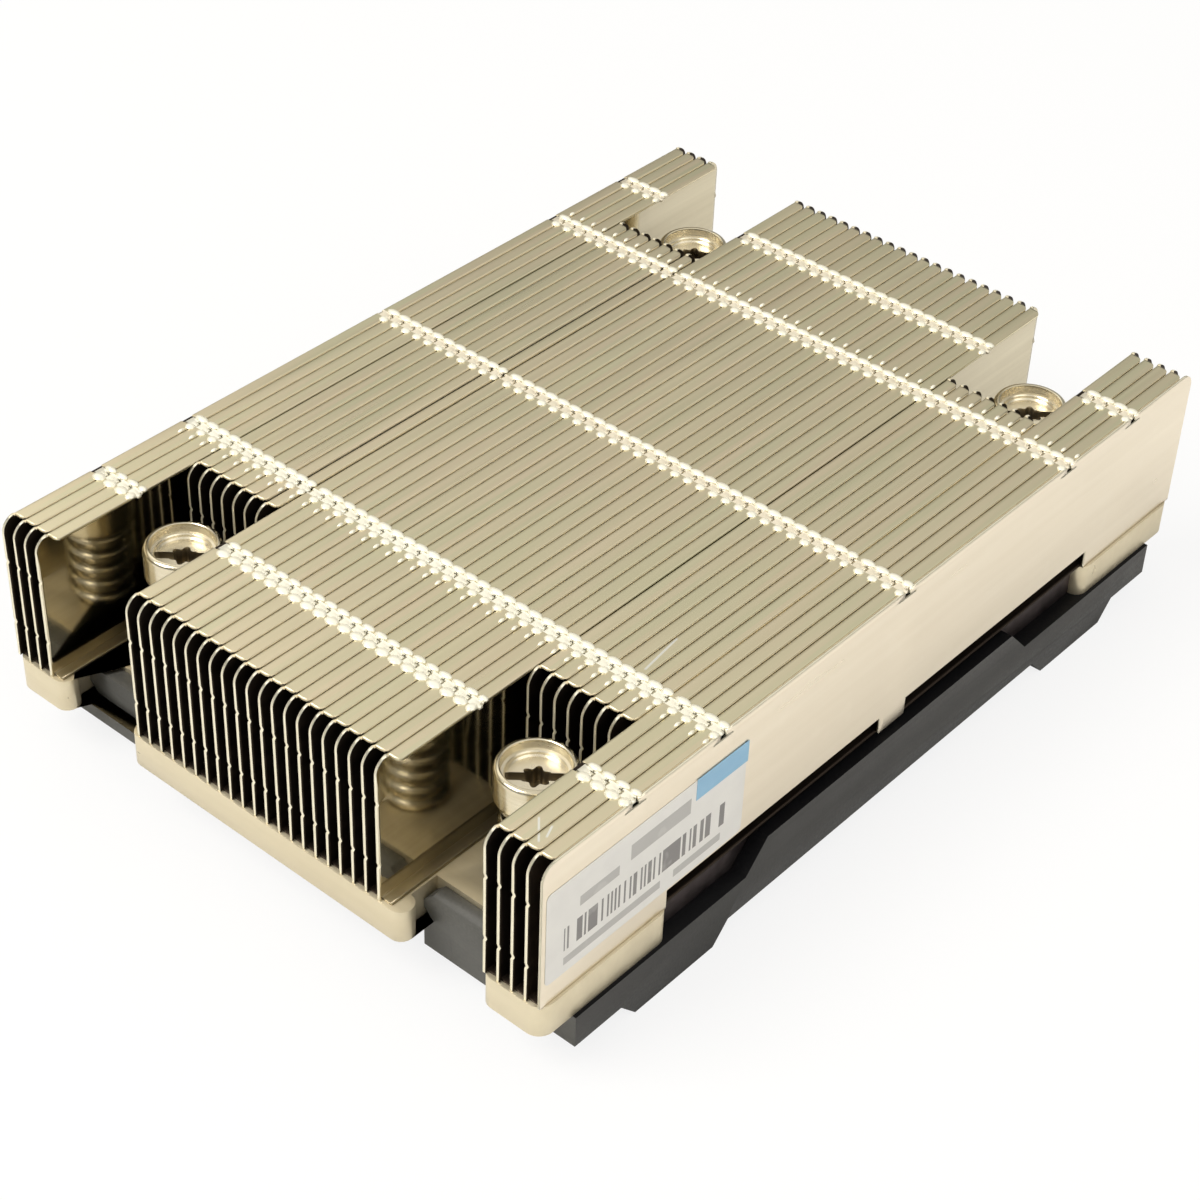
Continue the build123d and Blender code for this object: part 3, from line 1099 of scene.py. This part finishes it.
@dataclass
class SpringScrew:
    """A captive screw with its coil spring and retaining clip."""

    corner: Corner
    joints: list[dict]
    head_radius: float = 4.75
    head_height: float = 4.8
    head_round: float = 0.9
    shank_radius: float = 3.0
    shank_chamfer: float = 0.25
    shoulder_drop: float = 0.8
    thread_radius: float = 2.0
    thread_root: float = 1.68
    thread_pitch: float = 0.7
    thread_form: Point = (0.12, 0.35, 0.58)
    thread_relief: float = 0.3
    nose_radius: float = 1.45
    nose_height: float = 0.5
    groove_radius: float = 2.2
    groove_play: float = 0.1
    cup_radius: float = 3.9
    cup_depth: float = 1.8
    ledge_radius: float = 3.4
    ledge_depth: float = 1.1
    cup_round: float = 0.2
    rim_form: tuple[Pair, ...] = ((0.0, 0.6), (0.1, 0.3), (0.26, 0.1), (0.46, 0.01))
    lip_form: tuple[Pair, ...] = ((0.2, 0.0), (0.07, 0.08), (0.0, 0.25))
    slot: Point = (6.8, 1.25, 1.0)
    slot_turn: float = 41.0
    lobe_radius: float = 1.35
    lobe_swing: float = 0.24
    mouth_drop: float = 0.3
    mouth_scale: float = 1.22
    socket_depth: float = 2.0
    clip_edge: float = 0.12
    wire: float = 0.45
    coil_radius: float = 3.7
    turns: float = 4.75
    steps_per_turn: int = 28

    def _profile(self, clip: Pair, top: float, tip: float) -> list[Pair]:
        """Half outline of the screw from its tip to the middle of the cup floor.

        Args:
            clip: Bottom and top of the clip.
            top: Height of the rim.
            tip: Height of the tip.

        Returns:
            Points as radius and height.
        """
        thread, shank, head, cup, inner = (
            self.thread_radius, self.shank_radius, self.head_radius, self.cup_radius, self.ledge_radius
        )
        under_head = top - self.head_height
        shoulder = clip[0] - self.shoulder_drop
        height = tip + self.nose_height
        points = [(0.0, tip), (self.nose_radius, tip), (thread, height)]
        start, root, end = self.thread_form
        while height + self.thread_pitch < shoulder - self.thread_relief:
            points += [(thread, height + start), (self.thread_root, height + root), (thread, height + end)]
            height += self.thread_pitch
        groove = (clip[0] - self.groove_play, clip[1] + self.groove_play)
        points += [
            (thread, shoulder), (shank - self.shank_chamfer, shoulder),
            (shank, shoulder + self.shank_chamfer), (shank, groove[0]),
            (self.groove_radius, groove[0]), (self.groove_radius, groove[1]),
            (shank, groove[1]), (shank, under_head), (head - self.head_round, under_head),
        ]
        for angle in (math.radians(90.0 * step / 4) for step in range(1, 5)):
            side, rise = self.head_round * math.sin(angle), self.head_round * (1 - math.cos(angle))
            points.append((head - self.head_round + side, under_head + rise))
        ledge = top - self.ledge_depth
        floor = top - self.cup_depth
        soft = self.cup_round
        points += [(head - inward, top - down) for inward, down in self.rim_form]
        points += [(cup + outward, top - down) for outward, down in self.lip_form]
        return [
            *points, (cup, ledge + 0.6 * soft), (cup - 0.3 * soft, ledge),
            (inner + 0.6 * soft, ledge - 0.3 * soft), (inner, ledge - soft),
            (inner, floor + soft), (inner - soft, floor), (0.0, floor),
        ]

    def _lathe(self, points: list[Pair], centre: Vector) -> Mesh:
        """Turn a half outline round the screw's axis."""
        mesh = bmesh.new()
        verts = [mesh.verts.new((centre.x + radius, centre.y, height)) for radius, height in points]
        edges = [mesh.edges.new(pair) for pair in zip(verts, verts[1:])]
        bmesh.ops.spin(
            mesh, geom=[*verts, *edges], cent=(centre.x, centre.y, 0), axis=(0, 0, 1),
            angle=math.tau, steps=64, use_merge=True,
        )
        bmesh.ops.remove_doubles(mesh, verts=mesh.verts, dist=MERGE)
        return outwards(mesh)

    def _slot_cutter(self, centre: Vector, floor: float) -> Mesh:
        """A bar with rounded ends that cuts the driver slot."""
        length, width, depth = self.slot
        mesh = bmesh.new()
        half, side = length / 2, width / 2
        shape = ((-half, -side), (half, -side), (half, side), (-half, side))
        add_face(mesh, [(centre.x + x, centre.y + y, floor - depth) for x, y in shape])
        round_corners(mesh, mesh.verts[:], side * 0.8, 4)
        turn = Matrix.Rotation(math.radians(self.slot_turn), 4, "Z")
        middle = Matrix.Translation((-centre.x, -centre.y, 0))
        bmesh.ops.transform(mesh, matrix=turn, verts=mesh.verts, space=middle)
        return raised(mesh, (0, 0, depth + 1.0))

    def _lobe_cutter(self, centre: Vector, floor: float) -> Mesh:
        """A six-lobed bar that cuts the socket, wider at its mouth."""
        mesh = bmesh.new()
        bmesh.ops.create_circle(mesh, cap_ends=True, radius=1.0, segments=72)
        for vert in mesh.verts:
            angle = math.atan2(vert.co.y, vert.co.x)
            reach = self.lobe_radius + self.lobe_swing * math.cos(6 * angle)
            x, y = centre.x + reach * math.cos(angle), centre.y + reach * math.sin(angle)
            vert.co = Vector((x, y, floor - self.socket_depth))
        mouth = raised(mesh, (0, 0, self.socket_depth - self.mouth_drop))
        upper = [vert for vert in mouth.verts if vert.co.z > floor - 1.0]
        lid = [face for face in mouth.faces if all(vert in upper for vert in face.verts)]
        rim = pull(mouth, lid, (0, 0, 2 * self.mouth_drop))
        middle = Matrix.Translation((-centre.x, -centre.y, 0))
        bmesh.ops.scale(mouth, vec=(self.mouth_scale, self.mouth_scale, 1.0), verts=rim, space=middle)
        bmesh.ops.delete(mouth, geom=lid, context="FACES_ONLY")
        return outwards(mouth)

    def _cut_with(self, target: Mesh, cutter: Mesh) -> Mesh:
        """Subtract one closed mesh from another.

        Args:
            target: The mesh to cut, freed afterwards.
            cutter: The mesh that cuts, freed afterwards.

        Returns:
            The cut mesh.
        """
        holders = [place_object("bench", stored_mesh("bench", source)) for source in (target, cutter)]
        add_modifier(holders[0], "BOOLEAN", object=holders[1], operation="DIFFERENCE", solver="EXACT")
        bpy.context.view_layer.update()
        result = bmesh.new()
        result.from_object(holders[0], bpy.context.evaluated_depsgraph_get())
        for holder in holders:
            data = holder.data
            bpy.data.objects.remove(holder)
            bpy.data.meshes.remove(data)
        return result

    def build_screw(self) -> None:
        """Build the screw over its CAD node."""
        name = self.corner.value
        low, high = node_box(f"screw_{name}")
        clip_low, clip_high = node_box(f"clip_{name}")
        centre = (low + high) / 2
        floor = high.z - self.cup_depth
        mesh = self._lathe(self._profile((clip_low.z, clip_high.z), high.z, low.z), centre)
        mesh = self._cut_with(mesh, self._slot_cutter(centre, floor))
        mesh = self._cut_with(mesh, self._lobe_cutter(centre, floor))
        for face in mesh.faces:
            spot = face.calc_center_median()
            radius = math.hypot(spot.x - centre.x, spot.y - centre.y)
            if radius < self.cup_radius + 0.02 and spot.z > floor - self.socket_depth - 0.1:
                # Faces below the cup floor, inside the socket, take painted shade.
                face.material_index = 2 if spot.z < floor - 0.02 else 1
            else:
                face.material_index = 0
        finishes = (SCREW_PLATING, CUP_PLATING, SOCKET_SHADE)
        node = f"screw_{name}"
        made = finish_piece(f"drum_{node}", mesh, finishes, [node], node, smooth_deg=32.0)
        add_modifier(made, "WEIGHTED_NORMAL", keep_sharp=True)

    def build_spring(self) -> None:
        """Build the coil spring over its CAD node."""
        name = self.corner.value
        node = f"spring_{name}"
        low, high = node_box(node)
        screw_low, screw_high = node_box(f"screw_{name}")
        centre = (screw_low + screw_high) / 2
        rise = high.z - low.z - 2 * self.wire
        mesh = bmesh.new()
        place = Matrix.Translation((centre.x + self.coil_radius, centre.y, low.z + self.wire))
        ring = place @ Matrix.Rotation(math.pi / 2, 4, "X")
        bmesh.ops.create_circle(mesh, cap_ends=True, radius=self.wire, segments=12, matrix=ring)
        steps = round(self.turns * self.steps_per_turn)
        bmesh.ops.spin(
            mesh, geom=[*mesh.verts, *mesh.edges, *mesh.faces], cent=(centre.x, centre.y, 0), axis=(0, 0, 1),
            dvec=(0, 0, rise / steps), angle=math.tau * self.turns, steps=steps, use_duplicate=False,
        )
        made = finish_piece(f"coil_{node}", outwards(mesh), (SPRING_STEEL,), [node])
        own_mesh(made)

    def build_clip(self) -> None:
        """Build the retaining clip over its CAD node."""
        name = self.corner.value
        node = f"clip_{name}"
        mesh = softened_copy(node, self.clip_edge)
        finish_piece(f"ring_{node}", mesh, (CLIP_STEEL,), [node], f"plunger_{name}")

    def build(self) -> None:
        """Build the screw, its spring and its clip."""
        self.build_screw()
        self.build_spring()
        self.build_clip()


@dataclass(frozen=True)
class Lamp:
    """A soft square lamp, in metres and watts."""

    name: str
    place: Point
    size: float
    power: float
    colour: Colour

    def hang(self) -> None:
        """Hang the lamp so that it faces the heatsink."""
        data = bpy.data.lights.new(self.name, "AREA")
        data.shape = "SQUARE"
        data.size = self.size
        data.energy = self.power
        data.color = self.colour
        lamp = place_object(self.name, data)
        lamp.location = self.place
        lamp.rotation_euler = (-Vector(self.place)).to_track_quat("-Z", "Y").to_euler()


@dataclass
class Studio:
    """Floor, soft light and the camera at the photograph's viewpoint."""

    camera_mm: Point = (166.47, -204.26, 218.42)
    right: Point = (0.75236, 0.65799, 0.03177)
    down: Point = (0.43070, -0.45484, -0.77950)
    lens: float = 79.58
    sensor: float = 36.0
    floor_size: float = 6.0
    floor_share: float = 0.84
    mirrored: float = 0.2
    dome_edge: Pair = (0.48, 0.67)
    dome_low: Colour = (0.15, 0.15, 0.13)
    dome_high: Colour = (1.0, 0.96, 0.88)
    dome_strength: float = 0.79
    lamps: tuple[Lamp, ...] = (
        Lamp("key_lamp", (-0.3, -0.65, 0.85), 0.55, 8.6, (1.0, 0.97, 0.92)),
        Lamp("left_lamp", (-1.1, 0.3, 0.95), 0.8, 1.2, (1.0, 0.96, 0.86)),
        Lamp("fill_lamp", (1.1, -0.1, 0.6), 1.0, 4.8, (1.0, 0.98, 0.96)),
    )

    def backdrop_share(self, graph: Graph, seen: float) -> Socket:
        """How much of the white backdrop a ray meets.

        Args:
            graph: The node tree of the floor or the world.
            seen: The share for rays from the camera.

        Returns:
            The share's socket, lower for rays from metal and glass.
        """
        path = graph.node("ShaderNodeLightPath").outputs
        direct = graph.times(path["Is Camera Ray"], seen)
        bounced = graph.math("MAXIMUM", path["Is Glossy Ray"], path["Is Transmission Ray"])
        return graph.math("MAXIMUM", direct, graph.times(bounced, self.mirrored))

    def build_floor(self) -> None:
        """A pale floor that keeps a faint shadow and shows white to the camera."""
        mesh = bmesh.new()
        bmesh.ops.create_grid(mesh, x_segments=1, y_segments=1, size=self.floor_size / 2)
        floor = place_object("floor", stored_mesh("floor", mesh))
        material = bpy.data.materials.new("pale_floor")
        graph = Graph.of(material)
        speckle = graph.node("ShaderNodeTexNoise", {"Scale": 40.0, "Detail": 3.0}).outputs[0]
        tint = graph.mix(speckle, (0.86, 0.86, 0.85, 1.0), (0.90, 0.90, 0.89, 1.0))
        matte = graph.node("ShaderNodeBsdfDiffuse", {"Color": tint}).outputs[0]
        glow = graph.node("ShaderNodeEmission", {"Color": WHITE, "Strength": 1.0}).outputs[0]
        share = self.backdrop_share(graph, self.floor_share)
        blend = graph.node("ShaderNodeMixShader", {0: share, 1: matte, 2: glow}).outputs[0]
        graph.node("ShaderNodeOutputMaterial", {"Surface": blend})
        floor.data.materials.append(material)

    def build_sky(self) -> None:
        """A soft overhead dome, white to the camera."""
        world = bpy.data.worlds.new("soft_dome")
        bpy.context.scene.world = world
        graph = Graph.of(world)
        axes = graph.axes(graph.node("ShaderNodeTexCoord").outputs["Generated"])
        height = graph.remap(axes["Z"], *self.dome_edge)
        tint = graph.mix(height, (*self.dome_low, 1.0), (*self.dome_high, 1.0))
        dome = graph.node("ShaderNodeBackground", {"Color": tint, "Strength": self.dome_strength}).outputs[0]
        white = graph.node("ShaderNodeBackground", {"Color": WHITE, "Strength": 1.0}).outputs[0]
        share = self.backdrop_share(graph, 1.0)
        blend = graph.node("ShaderNodeMixShader", {0: share, 1: dome, 2: white}).outputs[0]
        graph.node("ShaderNodeOutputWorld", {"Surface": blend})

    def build_camera(self) -> None:
        """Place the camera where the photograph was taken from."""
        data = bpy.data.cameras.new("camera")
        data.lens = self.lens
        data.sensor_width = self.sensor
        data.clip_start = 0.01
        camera = place_object("camera", data)
        right = Vector(self.right).normalized()
        up = -Vector(self.down).normalized()
        back = right.cross(up)
        turn = Matrix((right, back.cross(right), back)).transposed().to_4x4()
        camera.matrix_world = Matrix.Translation(Vector(self.camera_mm) * MM) @ turn
        bpy.context.scene.camera = camera

    def build(self) -> None:
        """Set up the whole studio."""
        self.build_floor()
        self.build_sky()
        for lamp in self.lamps:
            lamp.hang()
        self.build_camera()
        bpy.context.scene.view_settings.view_transform = "Standard"


def main() -> None:
    """Build the studio and every piece of the heatsink."""
    logging.basicConfig(level=logging.INFO, format="%(name)s: %(message)s")
    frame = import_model()
    Studio().build()
    FinStack().build()
    Carrier().build()
    Sticker().build()
    for corner in Corner:
        SpringScrew(corner, frame["joints"]).build()
    bpy.context.view_layer.update()


if __name__ == "__main__":
    main()
